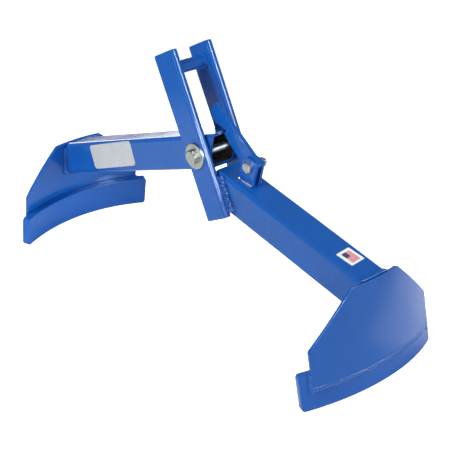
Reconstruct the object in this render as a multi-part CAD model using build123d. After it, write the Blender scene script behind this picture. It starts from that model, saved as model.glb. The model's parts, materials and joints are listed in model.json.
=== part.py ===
"""Drum lifting clamp: two hinged arms whose curved shoes close under the rim of an upright steel drum.

The right arm is a square tube welded between two lift plates, which a bar joins near their top. The left arm
is a second square tube, which turns between the lift plates on the pivot bolt. A notched latch lever on two
ears drops over the inner end of the left tube and props it, so that the arms cannot spread further.

Every piece is drawn in the gripping pose, where the two shoes share the drum's upright axis. There the pivot
is the origin, X runs along the arms, Y along the pivot bolt and Z is up. Each body is then turned about the
pivot to its rest pose, standing open on the lower corners of its grip bands. Lengths are in millimetres and
angles in degrees.
"""
import os
from math import asin, atan2, cos, degrees, hypot, radians, sin

from build123d import *

# Running fits
running_gap = 0.4
pin_clearance = 0.05

# Square tube of both arms
tube_side = 50.8
tube_wall = 4.76
tube_corner_radius = 6.0
tube_inner_radius = 1.4

# Lift plates and lifting bar, measured from the pivot along the plates
plate_thickness = 12.7
plate_width = 43.0
plate_length = 247.0
plate_above_pivot = 151.0
plate_corner_radius = 2.2
plate_edge_flat = 1.0
plate_lean = 15.2
bar_diameter = 19.05
bar_above_pivot = 125.6

# Arms, in the gripping pose; a landing is where a tube's axis meets its shoe, above the band's foot
right_drop = 35.2
right_landing = 120.0
right_tube_start = 31.0
left_landing = 117.9
left_tube_overhang = 30.3
left_tube_raise = 1.0

# Drum axis and band foot, from the pivot
drum_axis_back = 25.65
pivot_height = 291.8

# Grip bands and shoe plates
grip_radius = 293.0
band_thickness = 12.7
band_height = 50.8
band_half_angle = 24.8
band_corner_radius = 5.0
band_edge_flat = 0.8
shoe_thickness = 4.76
shoe_half_angle = 21.7
shoe_foot = 30.0
shoe_shoulder = 82.0
shoe_top = 147.6
shoe_top_half_angle = 8.2
shoe_corner_radius = 6.0

# Ears of the latch, along the top of the right tube from the foot of the pivot
ear_thickness = 4.76
ear_start = 60.4
ear_length = 28.6
ear_height = 38.9
ear_clip = 7.8
ear_corner_radius = 2.0
latch_bolt_along_ear = 15.0
latch_bolt_height = 26.7

# Latch lever, along and across its straight back from the latch bolt
lever_thickness = 6.35
lever_lean = 48.2
lever_back = 15.3
lever_front = 17.4
lever_foot = 9.5
lever_foot_radius = 6.0
lever_length = 103.8
lever_tip_radius = 3.0
lever_neck_front = 9.2
notch_place = 64.4
notch_floor = 0.8
nose_start = 85.4
nose_front = 9.8
nose_end_front = 7.2

# Bolts, washers and nuts
pivot_bolt_diameter = 12.7
pivot_hex = 19.05
pivot_head_height = 7.6
pivot_nut_height = 8.0
pivot_washer_diameter = 38.1
pivot_washer_thickness = 3.4
latch_bolt_diameter = 9.53
latch_hex = 14.3
latch_head_height = 6.0
latch_nut_height = 13.0
pivot_bolt_end = 1.0
latch_bolt_end = 2.4
washer_play = 0.4
hex_chamfer_share = 0.94

# Weld beads
plate_bead = 6.0
tube_end_bead = 4.0
ear_bead = 4.5
bar_bead = 3.0
shoe_bead = 5.0
band_bead = 4.5
bead_crown = 0.62

# Rest pose
open_angle = 20.6

plate_gap = tube_side + 2 * running_gap
plate_outer = plate_gap / 2 + plate_thickness
band_outer_radius = grip_radius + band_thickness
shoe_outer_radius = band_outer_radius + shoe_thickness
ear_slot = lever_thickness + 2 * running_gap
ear_outer = ear_slot / 2 + ear_thickness
far = 4 * pivot_height

drum_axis = Pos(-drum_axis_back, 0, -pivot_height)
across = (0, 1, 0)
to_viewer = (0, -1, 0)


def heading(angle):
    """Unit vector in the XZ plane, at an angle up from +X."""
    return Vector(cos(radians(angle)), 0, sin(radians(angle)))


def arm_slope(reach, landing, rise):
    """Slope of a tube down to its landing, when its axis passes the pivot at a height of rise above it."""
    fall = pivot_height - landing
    return degrees(atan2(fall, reach) + asin(rise / hypot(reach, fall)))


right_slope = arm_slope(band_outer_radius - drum_axis_back, right_landing, -right_drop)
left_slope = arm_slope(band_outer_radius + drum_axis_back, left_landing, left_tube_raise)
right_along = heading(-right_slope)
right_up = heading(90 - right_slope)
left_along = heading(180 + left_slope)
left_up = heading(90 + left_slope)
right_foot = right_up * -right_drop

lift_plane = Plane(origin=(0, 0, 0), x_dir=heading(plate_lean), z_dir=to_viewer)
right_plane = Plane(origin=right_foot, x_dir=across, z_dir=right_along)
left_plane = Plane(origin=left_up * left_tube_raise, x_dir=across, z_dir=left_along)
right_top = right_foot + right_up * (tube_side / 2)
right_top_plane = Plane(origin=right_top, x_dir=right_along, z_dir=to_viewer)
latch_pivot = right_top + right_along * (ear_start + latch_bolt_along_ear) + right_up * latch_bolt_height
lever_along = heading(180 - lever_lean)
lever_plane = Plane(origin=latch_pivot, x_dir=lever_along * -1, z_dir=to_viewer)


def slab(plane, outline, thickness, middle=0.0):
    """Plate of an outline drawn on an upright plane, centred across the clamp at middle."""
    return Pos(0, middle, 0) * extrude(plane * outline, thickness / 2, both=True)


def cross_pin(plane, x, z, diameter, length=far):
    """Round bar along Y through a point of an upright plane."""
    return slab(plane, Pos(x, z) * Circle(diameter / 2), length)


def tube_outline(growth=0.0):
    side = tube_side + 2 * growth
    return RectangleRounded(side, side, tube_corner_radius + growth)


def tube(plane, start):
    """Square tube along a plane's normal, from start to well beyond the shoe."""
    bore = RectangleRounded(tube_side - 2 * tube_wall, tube_side - 2 * tube_wall, tube_inner_radius)
    return extrude(plane.offset(start) * (tube_outline() - bore), far)


def inside_shoe(depth=0.0):
    """Round block that ends where the shoe plates begin, or a depth short of them."""
    return drum_axis * Cylinder(band_outer_radius - depth, far)


def lift_plate(side):
    """Flat bar with its edges broken, drilled for the pivot bolt."""
    middle = plate_above_pivot - plate_length / 2
    outline = Pos(0, middle) * RectangleRounded(plate_width, plate_length, plate_corner_radius)
    plate = slab(lift_plane, outline, plate_thickness, side * (plate_outer - plate_thickness / 2))
    plate = chamfer(plate.faces().filter_by(Axis.Y).edges(), plate_edge_flat)
    return plate - cross_pin(lift_plane, 0, 0, pivot_bolt_diameter + 2 * pin_clearance)


def lifting_bar():
    return cross_pin(lift_plane, 0, bar_above_pivot, bar_diameter, plate_gap)


def right_arm_tube():
    """Tube with a square inner end and an outer end shaped to the shoe plate."""
    return tube(right_plane, right_tube_start) & inside_shoe()


def left_end_x():
    """Upright plane of the left tube's mitred inner end."""
    top_corner = left_up * (left_tube_raise + tube_side / 2) - left_along * left_tube_overhang
    return top_corner.X


def left_arm_tube():
    """Tube whose inner end is mitred upright, drilled through both sides for the pivot bolt."""
    keep = Pos(left_end_x(), 0, 0) * Box(far, far, far, align=(Align.MAX, Align.CENTER, Align.CENTER))
    arm = tube(left_plane, -2 * left_tube_overhang) & inside_shoe() & keep
    return arm - cross_pin(lift_plane, 0, 0, pivot_bolt_diameter + 2 * pin_clearance)


def ring_sector(inner, outer, half_angle):
    """Flat ring sector about the drum's axis, centred on +X."""
    x, y = cos(radians(half_angle)), sin(radians(half_angle))
    sides = [Line((inner * x, -inner * y), (outer * x, -outer * y)),
             ThreePointArc((outer * x, -outer * y), (outer, 0), (outer * x, outer * y)),
             Line((outer * x, outer * y), (inner * x, inner * y)),
             ThreePointArc((inner * x, inner * y), (inner, 0), (inner * x, -inner * y))]
    return make_face(sides)


def grip_band():
    """Rolled flat bar that bears on the drum, with rounded end corners, on the right of the drum's axis."""
    band = extrude(ring_sector(grip_radius, band_outer_radius, band_half_angle), band_height)
    ends = [edge for edge in band.edges().filter_by(GeomType.LINE) if abs(edge.tangent_at(0).Z) < 0.5]
    band = fillet(ends, band_corner_radius)
    band = chamfer(band.edges(), band_edge_flat)
    return drum_axis * band


def shoe_point(half_angle, height):
    """Point halfway through the shoe plate."""
    radius = (band_outer_radius + shoe_outer_radius) / 2
    return Vector(radius * cos(radians(half_angle)), radius * sin(radians(half_angle)), height)


def shoe_plate():
    """Rolled plate with clipped upper corners, on the right of the drum's axis."""
    sector = ring_sector(band_outer_radius, shoe_outer_radius, shoe_half_angle)
    plate = Pos(0, 0, shoe_foot) * extrude(sector, shoe_top - shoe_foot)
    for side in (-1, 1):
        shoulder = shoe_point(side * shoe_half_angle, shoe_shoulder)
        top = shoe_point(side * shoe_top_half_angle, shoe_top)
        middle = shoe_point(side * (shoe_half_angle + shoe_top_half_angle) / 2, 0)
        outward = (top - shoulder).cross(middle) * side
        clip = Plane(origin=shoulder, x_dir=top - shoulder, z_dir=outward)
        plate -= clip * Box(far, far, far, align=(Align.CENTER, Align.CENTER, Align.MIN))
    corners = [edge for edge in plate.edges() if edge.length < 2 * shoe_thickness]
    return drum_axis * fillet(corners, shoe_corner_radius)


def to_left(shape):
    """The same shoe piece on the left of the drum's axis."""
    return drum_axis * Rot(0, 0, 180) * drum_axis.inverse() * shape


def latch_ear(side):
    """Upright ear with one clipped corner, drilled for the latch bolt."""
    end = ear_start + ear_length
    outline = Polygon((ear_start, 0), (end, 0), (end, ear_height), (ear_start + ear_clip, ear_height),
                      (ear_start, ear_height - ear_clip), align=None)
    raised = [corner for corner in outline.vertices() if corner.Y > 0]
    outline = fillet(raised, ear_corner_radius)
    hole = Circle(latch_bolt_diameter / 2 + pin_clearance)
    outline -= Pos(ear_start + latch_bolt_along_ear, latch_bolt_height) * hole
    return slab(right_top_plane, outline, ear_thickness, side * (ear_outer - ear_thickness / 2))


def latch_lever():
    """Flat bar with a square-faced notch, whose nose hangs over the inner end of the left tube."""
    back = [(lever_foot, lever_back), (-lever_length, lever_back)]
    nose = [(-lever_length, -nose_end_front), (-nose_start, -nose_front)]
    notch = [(-notch_place, -notch_floor), (-notch_place, -lever_neck_front)]
    outline = Polygon(*back, *nose, *notch, (lever_foot, -lever_front), align=None)
    foot = outline.vertices().filter_by(lambda corner: corner.X > 0)
    outline = fillet(foot, lever_foot_radius)
    tip = outline.vertices().filter_by(lambda corner: corner.X < 1 - lever_length)
    outline = fillet(tip, lever_tip_radius)
    outline -= Circle(latch_bolt_diameter / 2 + pin_clearance)
    return slab(lever_plane, outline, lever_thickness)


def hexagon(across_flats, height):
    """Hexagonal block on the XY plane."""
    return extrude(RegularPolygon(across_flats / 2, 6, major_radius=False), height)


def bolt_head(across_flats, height):
    """Hexagonal head on the XY plane, its outer corners turned off."""
    block = hexagon(across_flats, height)
    top = across_flats / 2 * hex_chamfer_share
    cone = Cone(top + height, top, height, align=(Align.CENTER, Align.CENTER, Align.MIN))
    return block & cone


def on_bolt(point, side, distance, turn=0.0):
    """Place on a bolt's axis where +Z points outwards from the clamp's middle."""
    start = Vector(point.X, side * distance, point.Z)
    x_dir = heading(turn)
    return Plane(origin=start, x_dir=x_dir, z_dir=(0, side, 0)).location


def hex_bolt(point, diameter, across_flats, head_height, head_seat, far_end, turn):
    """Bolt with its head towards the viewer at head_seat and its end at far_end."""
    shank = on_bolt(point, 1, -head_seat) * extrude(Circle(diameter / 2), head_seat + far_end)
    return shank + on_bolt(point, -1, head_seat, turn) * bolt_head(across_flats, head_height)


def lock_nut(point, across_flats, height, diameter, seat, turn):
    """Nut with a collar, on the far side."""
    collar_height = 0.2 * height
    nut = hexagon(across_flats, height - collar_height)
    nut += Pos(0, 0, height - collar_height) * extrude(Circle(0.43 * across_flats), collar_height)
    nut -= extrude(Circle(diameter / 2 + pin_clearance), height)
    return on_bolt(point, 1, seat, turn) * nut


def head_washer():
    ring = Circle(pivot_washer_diameter / 2) - Circle(pivot_bolt_diameter / 2 + washer_play)
    return on_bolt(Vector(0, 0, 0), -1, plate_outer) * extrude(ring, pivot_washer_thickness)


def bead_profile(leg):
    """Section of a fillet weld in the corner at the origin, its legs along +X and +Y."""
    crown = bead_crown * leg
    face = ThreePointArc((leg, 0), (crown, crown), (0, leg))
    return make_face([Line((0, 0), (leg, 0)), face, Line((0, leg), (0, 0))])


def straight_bead(corner, first, second, leg, length):
    """Straight bead from a corner point, with legs along first and second, that runs along first x second."""
    plane = Plane(origin=corner, x_dir=first, z_dir=first.cross(second))
    return extrude(plane * bead_profile(leg), length)


def plate_welds():
    """Beads down the lift plates' right edges, and up the corners at the right tube's inner end."""
    beads = []
    flat = tube_side / 2 - tube_corner_radius
    plate_x, plate_up = heading(plate_lean), heading(90 + plate_lean)
    edge = plate_x * (plate_width / 2)
    for side in (-1, 1):
        wall = Vector(0, side, 0)
        heights = [(n - edge.dot(right_up) - right_drop) / plate_up.dot(right_up) for n in (-flat, flat)]
        low, high = max(heights[0], plate_above_pivot - plate_length), heights[1]
        start = edge + plate_up * (low if side > 0 else high) + wall * (tube_side / 2)
        beads.append(straight_bead(start, plate_x, wall, plate_bead, high - low))
        corner = right_foot + right_along * right_tube_start + wall * (plate_gap / 2)
        start = corner + right_up * (flat if side < 0 else -flat)
        beads.append(straight_bead(start, right_along * -1, wall * -1, tube_end_bead, 2 * flat))
    return beads


def ear_welds():
    """Beads along the outer feet of the latch ears."""
    beads = []
    for side in (-1, 1):
        wall = Vector(0, side, 0)
        along = ear_start if side > 0 else ear_start + ear_length
        start = right_top + wall * ear_outer + right_along * along
        beads.append(straight_bead(start, wall, right_up, ear_bead, ear_length))
    return beads


def bar_welds():
    """Rings where the lifting bar meets the lift plates."""
    rings = []
    centre = heading(90 + plate_lean) * bar_above_pivot
    for side in (-1, 1):
        section = Polygon((0, 0), (bar_bead, 0), (0, bar_bead), align=None)
        ring = revolve(Plane.XZ * Pos(bar_diameter / 2, 0) * section, Axis.Z)
        place = Vector(centre.X, side * plate_gap / 2, centre.Z)
        rings.append(Plane(origin=place, x_dir=(1, 0, 0), z_dir=(0, -side, 0)).location * ring)
    return rings


def shoe_weld(plane, up):
    """Bead down both sides and along the underside of an arm tube, where it butts against the shoe plate."""
    upright = (Align.CENTER, Align.CENTER, Align.MIN)
    block = extrude(plane * tube_outline(), far) & inside_shoe(-shoe_thickness)
    shell = Cylinder(shoe_outer_radius, 2 * shoe_top, align=upright) - Cylinder(band_outer_radius, far)
    shell = drum_axis * shell
    joined = block + shell
    seam = [edge for edge in joined.edges() if on_shoe_face(edge) and abs(edge.center().Y) < tube_side
            and edge.length < 2 * tube_side]
    side_end = Plane(origin=plane.origin + up * (tube_side / 2 - tube_corner_radius), z_dir=up)
    below = side_end * Box(far, far, far, align=(Align.CENTER, Align.CENTER, Align.MAX))
    return (chamfer(seam, shoe_bead) - block - shell) & below


def on_shoe_face(edge):
    """Whether an edge lies wholly on the shoe plates' inner faces."""
    points = [edge.position_at(part) for part in (0.1, 0.5, 0.9)]
    return all(abs(Vector(p.X + drum_axis_back, p.Y, 0).length - band_outer_radius) < 0.01 for p in points)


def band_welds():
    """Beads round the foot and the lower ends of the shoe plate, where it laps the grip band."""
    section = Plane.XZ * Pos(band_outer_radius, shoe_foot) * mirror(bead_profile(band_bead), about=Plane.XZ)
    foot = revolve(Rot(0, 0, -shoe_half_angle) * section, Axis.Z, 2 * shoe_half_angle)
    beads = [drum_axis * foot]
    for side in (-1, 1):
        radial = Vector(cos(radians(shoe_half_angle)), side * sin(radians(shoe_half_angle)), 0)
        round_drum = Vector(-radial.Y, radial.X, 0) * side
        start = radial * band_outer_radius + Vector(0, 0, shoe_foot if side > 0 else band_height)
        bead = straight_bead(start, radial, round_drum, band_bead, band_height - shoe_foot)
        beads.append(drum_axis * (bead - Cylinder(band_outer_radius, far)))
    return beads


def turned(x, z, angle):
    """Point (x, z) turned about the pivot, towards +Z from +X."""
    c, s = cos(radians(angle)), sin(radians(angle))
    return x * c - z * s, x * s + z * c


def floor_tilt():
    """Angle that the right arm turns out by, so that both shoes stand on a level floor."""
    reach = grip_radius * cos(radians(band_half_angle))
    right = (reach - drum_axis_back, -pivot_height)
    left = turned(-reach - drum_axis_back, -pivot_height, -open_angle)
    return -degrees(atan2(right[1] - left[1], right[0] - left[0]))


pivot = Vector(0, 0, 0)
pivot_seat = plate_outer + pivot_washer_thickness
right_parts = {
    "right_arm_tube": right_arm_tube(),
    "lift_plate_front": lift_plate(-1),
    "lift_plate_rear": lift_plate(1),
    "lifting_bar": lifting_bar(),
    "right_shoe_plate": shoe_plate(),
    "right_grip_band": grip_band(),
    "latch_ear_front": latch_ear(-1),
    "latch_ear_rear": latch_ear(1),
    "pivot_bolt": hex_bolt(pivot, pivot_bolt_diameter, pivot_hex, pivot_head_height, pivot_seat,
                           plate_outer + pivot_nut_height + pivot_bolt_end, 6),
    "pivot_nut": lock_nut(pivot, pivot_hex, pivot_nut_height, pivot_bolt_diameter, plate_outer, 10),
    "pivot_washer": head_washer(),
    "latch_bolt": hex_bolt(latch_pivot, latch_bolt_diameter, latch_hex, latch_head_height, ear_outer,
                           ear_outer + latch_nut_height + latch_bolt_end, 10),
    "latch_nut": lock_nut(latch_pivot, latch_hex, latch_nut_height, latch_bolt_diameter, ear_outer, 27),
    "lift_plate_welds": Compound(plate_welds()),
    "lifting_bar_welds": Compound(bar_welds()),
    "latch_ear_welds": Compound(ear_welds()),
    "right_arm_shoe_weld": shoe_weld(right_plane, right_up),
    "right_grip_band_welds": Compound(band_welds()),
}
latch_parts = {"latch_lever": latch_lever()}
left_parts = {
    "left_arm_tube": left_arm_tube(),
    "left_shoe_plate": to_left(shoe_plate()),
    "left_grip_band": to_left(grip_band()),
    "left_arm_shoe_weld": shoe_weld(left_plane, left_up),
    "left_grip_band_welds": to_left(Compound(band_welds())),
}

right_turn = floor_tilt()
left_turn = right_turn - open_angle
right_and_latch = {**right_parts, **latch_parts}
at_rest = {name: Rot(0, -right_turn, 0) * shape for name, shape in right_and_latch.items()}
at_rest.update({name: Rot(0, -left_turn, 0) * shape for name, shape in left_parts.items()})

box = Compound(list(at_rest.values())).bounding_box()
to_origin = Pos(-(box.min.X + box.max.X) / 2, 0, -box.min.Z)

os.makedirs("parts", exist_ok=True)
for name, shape in at_rest.items():
    export_step(to_origin * shape, f"parts/{name}.step")

latch_x, latch_z = turned(latch_pivot.X, latch_pivot.Z, right_turn)
bar_x, bar_z = turned(*turned(0, bar_above_pivot, plate_lean), right_turn)
print("turned out: right", round(right_turn, 3), "left", round(left_turn, 3))
print("pivot", round(to_origin.position.X, 3), round(to_origin.position.Z, 3))
print("latch bolt", round(to_origin.position.X + latch_x, 3), round(to_origin.position.Z + latch_z, 3))
print("lifting bar", round(to_origin.position.X + bar_x, 3), round(to_origin.position.Z + bar_z, 3))
print("size", round(box.size.X, 2), round(box.size.Y, 2), round(box.size.Z, 2))
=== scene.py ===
# %% [markdown]
# # Drum lifting clamp
# A drum lifting clamp is two square-tube arms hinged on one bolt. Each arm ends in a curved shoe that
# closes under the rim of a steel drum, and a crane hook takes the round bar between the two upright plates.
# The whole thing is saw-cut, bent and welded steel under one coat of glossy blue powder paint, and only the
# bolts, nuts and washer are left in their zinc plating. This lesson dresses the measured frame piece by
# piece: it keeps every size, and adds the soft edges, rippled weld beads, threads and finishes that make
# steel look like steel.

# %% Load the frame
import json
from math import atan2, cos, hypot, pi, radians, sin, tan

import bmesh
import bpy
from mathutils import Matrix, Vector, noise

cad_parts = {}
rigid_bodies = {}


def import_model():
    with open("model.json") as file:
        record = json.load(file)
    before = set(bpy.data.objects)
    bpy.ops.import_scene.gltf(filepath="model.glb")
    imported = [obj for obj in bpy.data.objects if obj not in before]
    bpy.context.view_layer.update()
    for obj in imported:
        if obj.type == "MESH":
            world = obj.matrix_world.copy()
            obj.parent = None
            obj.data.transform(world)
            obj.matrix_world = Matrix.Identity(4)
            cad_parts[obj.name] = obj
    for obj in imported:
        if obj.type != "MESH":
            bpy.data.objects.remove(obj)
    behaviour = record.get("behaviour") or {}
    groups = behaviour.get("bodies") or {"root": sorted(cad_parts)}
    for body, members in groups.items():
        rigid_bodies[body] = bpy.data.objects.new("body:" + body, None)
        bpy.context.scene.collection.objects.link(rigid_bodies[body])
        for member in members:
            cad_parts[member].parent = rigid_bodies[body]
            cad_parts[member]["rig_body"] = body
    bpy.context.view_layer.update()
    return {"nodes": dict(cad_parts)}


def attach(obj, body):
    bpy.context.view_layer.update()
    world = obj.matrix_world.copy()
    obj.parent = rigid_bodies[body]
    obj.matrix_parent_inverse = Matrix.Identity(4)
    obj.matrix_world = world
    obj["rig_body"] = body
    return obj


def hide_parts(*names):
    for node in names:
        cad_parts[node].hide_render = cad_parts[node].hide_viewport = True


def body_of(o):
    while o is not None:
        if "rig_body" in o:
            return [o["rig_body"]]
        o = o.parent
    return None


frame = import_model()
nodes = frame["nodes"]
scene = bpy.context.scene
scene.view_settings.view_transform = "Standard"
MM = 0.001

# %% [markdown]
# ## Camera
# The clamp is seen from its right-hand end, a little over forty-five degrees round and looking down. A long
# lens from about a metre and a half keeps both shoes in the square picture. The camera could be turned by
# hand until it looks right, but its place, its two angles and its slight lean were measured from the
# edges of the tubes, so they are written as numbers and the three axes of the camera follow from them.

# %% Camera
CAMERA_PLACE = Vector((1.114949, -0.9655, 0.8408))
CAMERA_ROUND, CAMERA_DOWN, CAMERA_LEAN = radians(48.07), radians(26.42), radians(-0.74)
CAMERA_LENS, CAMERA_SHIFT = 87.8, 0.0011

looking = Vector((-sin(CAMERA_ROUND) * cos(CAMERA_DOWN), cos(CAMERA_ROUND) * cos(CAMERA_DOWN),
                  -sin(CAMERA_DOWN)))
level = looking.cross(Vector((0, 0, 1))).normalized()
upright = level.cross(looking)
right_hand = level * cos(CAMERA_LEAN) + upright * sin(CAMERA_LEAN)
over_head = upright * cos(CAMERA_LEAN) - level * sin(CAMERA_LEAN)

camera_data = bpy.data.cameras.new("camera")
camera_data.lens = CAMERA_LENS
camera_data.sensor_width = 36.0
camera_data.shift_x, camera_data.shift_y = -CAMERA_SHIFT, CAMERA_SHIFT
camera = bpy.data.objects.new("camera", camera_data)
turned = Matrix((right_hand, over_head, -looking)).transposed().to_4x4()
camera.matrix_world = Matrix.Translation(CAMERA_PLACE) @ turned
scene.collection.objects.link(camera)
scene.camera = camera
print("camera looks along", [round(part, 3) for part in looking])

# %% [markdown]
# ## Short ways to build node trees
# Every finish and every effect below is a tree of nodes. Adding nodes by hand is fine in the editor, but in a
# script a few small helpers make a tree read like a sum. The main one adds a node and fills its inputs, each
# with a plain value or with what another node puts out. The others stand for the nodes that come back
# most: a bit of arithmetic, a ramp between two values, and a noise texture.

# %% Node helpers


def node_tree(owner):
    """The empty node tree of a material or world."""
    owner.use_nodes = True
    owner.node_tree.nodes.clear()
    return owner.node_tree


def add(tree, kind, inputs=None, **settings):
    """A node with its settings; a named or numbered input gets a plain value or another node's output."""
    node = tree.nodes.new(kind)
    for name, value in settings.items():
        setattr(node, name, value)
    for socket, value in (inputs or {}).items():
        if isinstance(value, bpy.types.NodeSocket):
            tree.links.new(value, node.inputs[socket])
        else:
            node.inputs[socket].default_value = value
    return node


def calculate(tree, operation, *values):
    """What a math node makes of outputs and plain numbers."""
    return add(tree, "ShaderNodeMath", dict(enumerate(values)), operation=operation).outputs[0]


def ramp(tree, value, start, end, top=1.0, kind="SMOOTHSTEP"):
    """How far a value has come from start to end, as a number from nought to top."""
    return add(tree, "ShaderNodeMapRange",
               {"Value": value, "From Min": start, "From Max": end, "To Max": top},
               interpolation_type=kind).outputs[0]


def noise_at(tree, place, scale, detail, roughness):
    """The height of a noise texture at a place."""
    return add(tree, "ShaderNodeTexNoise", {"Vector": place, "Scale": scale, "Detail": detail,
                                            "Roughness": roughness}).outputs["Fac"]


# %% [markdown]
# ## The room
# The picture is a cut-out on white. What matters more is what the glossy paint mirrors, because smooth
# paint is a dull mirror and shows the room as much as its own blue. A picture of a studio could be wrapped
# round the scene, but this room is simple: it is evenly dim, so that the tops of the arms look deep blue,
# and only a little lighter low down behind the clamp. Two ramps over the direction say where that is.

# %% Sky
ROOM_LIGHT, WALL_LIGHT = 0.22, 0.12
WALL_SIDES, WALL_TOP = (0.35, 0.75), (0.35, 0.08)
BEHIND = Vector((looking.x, looking.y, 0)).normalized()
world = bpy.data.worlds.new("dim_room")
scene.world = world
sky = node_tree(world)
direction = add(sky, "ShaderNodeTexCoord").outputs["Generated"]
facing = add(sky, "ShaderNodeVectorMath", {0: direction, 1: BEHIND}, operation="DOT_PRODUCT").outputs["Value"]
height = add(sky, "ShaderNodeSeparateXYZ", {0: direction}).outputs["Z"]
brightness = calculate(sky, "MULTIPLY_ADD", ramp(sky, facing, *WALL_SIDES),
                       ramp(sky, height, *WALL_TOP, WALL_LIGHT), ROOM_LIGHT)
room = add(sky, "ShaderNodeBackground", {"Color": (1.0, 1.0, 1.0, 1), "Strength": brightness})
add(sky, "ShaderNodeOutputWorld", {0: room.outputs[0]})
print("room", len(sky.nodes), "nodes")

# %% [markdown]
# ## Lamps and cards
# Each light line on the paint is the mirror image of one lamp, so each lamp is made for the faces that it
# serves. The key light in front and the fill light behind light the clamp and are not mirrored. The big box
# at the right does both, and makes the broad right shoe milky. Two cards are only mirrored: one beside
# the big box, for the pale edges, and one that grazes the top of the left tube. Three small cards
# stand close by. The low one lights the hollow between the arms, as paper there would. The other two have
# so narrow a spread that they spark on the edge of the shoe and on the beads and leave flat faces alone.

# %% Lamps
MIDDLE = Vector((0.0, 0.0, 0.2))


def lamp(name, place, aim, width, height, watts, colour=(1, 1, 1), spread=180, lights=True, mirrored=True):
    """A rectangular lamp at a place, aimed at a point; one that doesn't light is a card for the gloss."""
    data = bpy.data.lights.new(name, "AREA")
    data.shape, data.size, data.size_y = "RECTANGLE", width, height
    data.energy, data.color, data.spread = watts, colour, radians(spread)
    box = bpy.data.objects.new(name, data)
    box.location = place
    box.rotation_euler = (Vector(place) - Vector(aim)).to_track_quat("Z", "Y").to_euler()
    box.visible_camera, box.visible_diffuse, box.visible_glossy = False, lights, mirrored
    scene.collection.objects.link(box)
    print(name, "at", [round(part, 2) for part in box.location])


def softbox(name, towards, away, *size_and_watts, **how):
    """A lamp in a direction from the middle of the clamp."""
    lamp(name, MIDDLE + Vector(towards).normalized() * away, MIDDLE, *size_and_watts, **how)


softbox("key_front", (-0.10, -0.79, 0.61), 2.3, 0.7, 0.7, 46, mirrored=False)
softbox("big_box_right", (0.88, 0.30, 0.36), 4.6, 2.6, 2.0, 128, colour=(0.88, 0.95, 1.0))
softbox("edge_card_right", (0.90, 0.27, 0.38), 4.6, 0.7, 1.6, 260, colour=(0.55, 0.76, 1.0), lights=False)
softbox("grazing_card_left", (-0.80, 0.598, -0.025), 2.3, 2.0, 0.60, 21, lights=False)
softbox("fill_behind", (-0.45, 0.88, 0.14), 3.0, 1.5, 1.0, 45, mirrored=False)

# %% Small cards close to the clamp
lamp("low_card_between_arms", (0.12, -0.19, 0.08), (-0.33, -0.09, 0.05), 0.16, 0.10, 0.055, spread=36,
     mirrored=False)
lamp("spark_card_shoe", (0.66, -0.71, 0.82), (0.33, -0.10, 0.10), 0.40, 0.40, 1.0, spread=24,
     lights=False)
lamp("spark_card_welds", (0.41, -0.34, 0.40), (0.065, -0.04, 0.175), 0.16, 0.16, 0.25, spread=26,
     lights=False)

# %% [markdown]
# ## Floor
# The clamp stands on white paper, which only has to be white to the camera and keep the clamp's shadow. So
# the paper glows to camera rays, a little below full white, and its own colour adds the rest where light
# falls. In the mirror of the paint the paper is of limited size: past its left and far ends the dark floor
# of the room begins. A strip of glare at its right is there for mirrored rays alone, as where a lamp
# shines flat across paper. Painted planes could do the same, but ramps over the floor keep the ends soft.

# %% Floor
CAMERA_GLOW, MIRRORED_GLOW, GLARE = 0.95, 0.10, 0.85
PAPER_WHITE, ROOM_FLOOR_GREY = (0.80, 0.80, 0.80, 1), (0.12, 0.12, 0.13, 1)
PAPER_LEFT_END, PAPER_FAR_END = (-0.74, -0.56), (0.70, 0.45)
GLARE_LEFT_END, GLARE_RIGHT_END, GLARE_NEAR_END = (0.28, 0.36), (0.66, 0.54), (0.10, 0.16)

floor_edit = bmesh.new()
bmesh.ops.create_grid(floor_edit, x_segments=1, y_segments=1, size=30.0)
bmesh.ops.translate(floor_edit, verts=floor_edit.verts, vec=(0, 0, -0.0003))
floor_mesh = bpy.data.meshes.new("floor")
floor_edit.to_mesh(floor_mesh)
floor_edit.free()
floor = bpy.data.objects.new("floor", floor_mesh)
scene.collection.objects.link(floor)

paper = bpy.data.materials.new("white_paper_sweep")
paper_tree = node_tree(paper)
seen_by = add(paper_tree, "ShaderNodeLightPath").outputs
on_floor = add(paper_tree, "ShaderNodeSeparateXYZ",
               {0: add(paper_tree, "ShaderNodeTexCoord").outputs["Object"]}).outputs


def floor_ramp(axis, ends, top=1.0):
    return ramp(paper_tree, on_floor[axis], *ends, top, kind="LINEAR")


on_paper = calculate(paper_tree, "MULTIPLY", floor_ramp("X", PAPER_LEFT_END), floor_ramp("Y", PAPER_FAR_END))
glare_strip = calculate(paper_tree, "MULTIPLY", floor_ramp("X", GLARE_LEFT_END),
                        floor_ramp("X", GLARE_RIGHT_END, GLARE))
glare = calculate(paper_tree, "MULTIPLY", glare_strip, floor_ramp("Y", GLARE_NEAR_END))
glare_seen = calculate(paper_tree, "MULTIPLY", glare, seen_by["Is Glossy Ray"])
mirrored_glow = calculate(paper_tree, "MULTIPLY", seen_by["Is Glossy Ray"], MIRRORED_GLOW)
paper_glow = calculate(paper_tree, "MULTIPLY_ADD", seen_by["Is Camera Ray"], CAMERA_GLOW, mirrored_glow)
paper_or_room = add(paper_tree, "ShaderNodeMix", {0: on_paper, 6: ROOM_FLOOR_GREY, 7: PAPER_WHITE},
                    data_type="RGBA")
matt = add(paper_tree, "ShaderNodeBsdfDiffuse", {"Color": paper_or_room.outputs[2]})
glow = add(paper_tree, "ShaderNodeEmission",
           {"Color": (1, 1, 1, 1), "Strength": calculate(paper_tree, "ADD", paper_glow, glare_seen)})
both = add(paper_tree, "ShaderNodeAddShader", {0: matt.outputs[0], 1: glow.outputs[0]})
add(paper_tree, "ShaderNodeOutputMaterial", {0: both.outputs[0]})
floor_mesh.materials.append(paper)
print("floor", len(paper_tree.nodes), "nodes")

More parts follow.
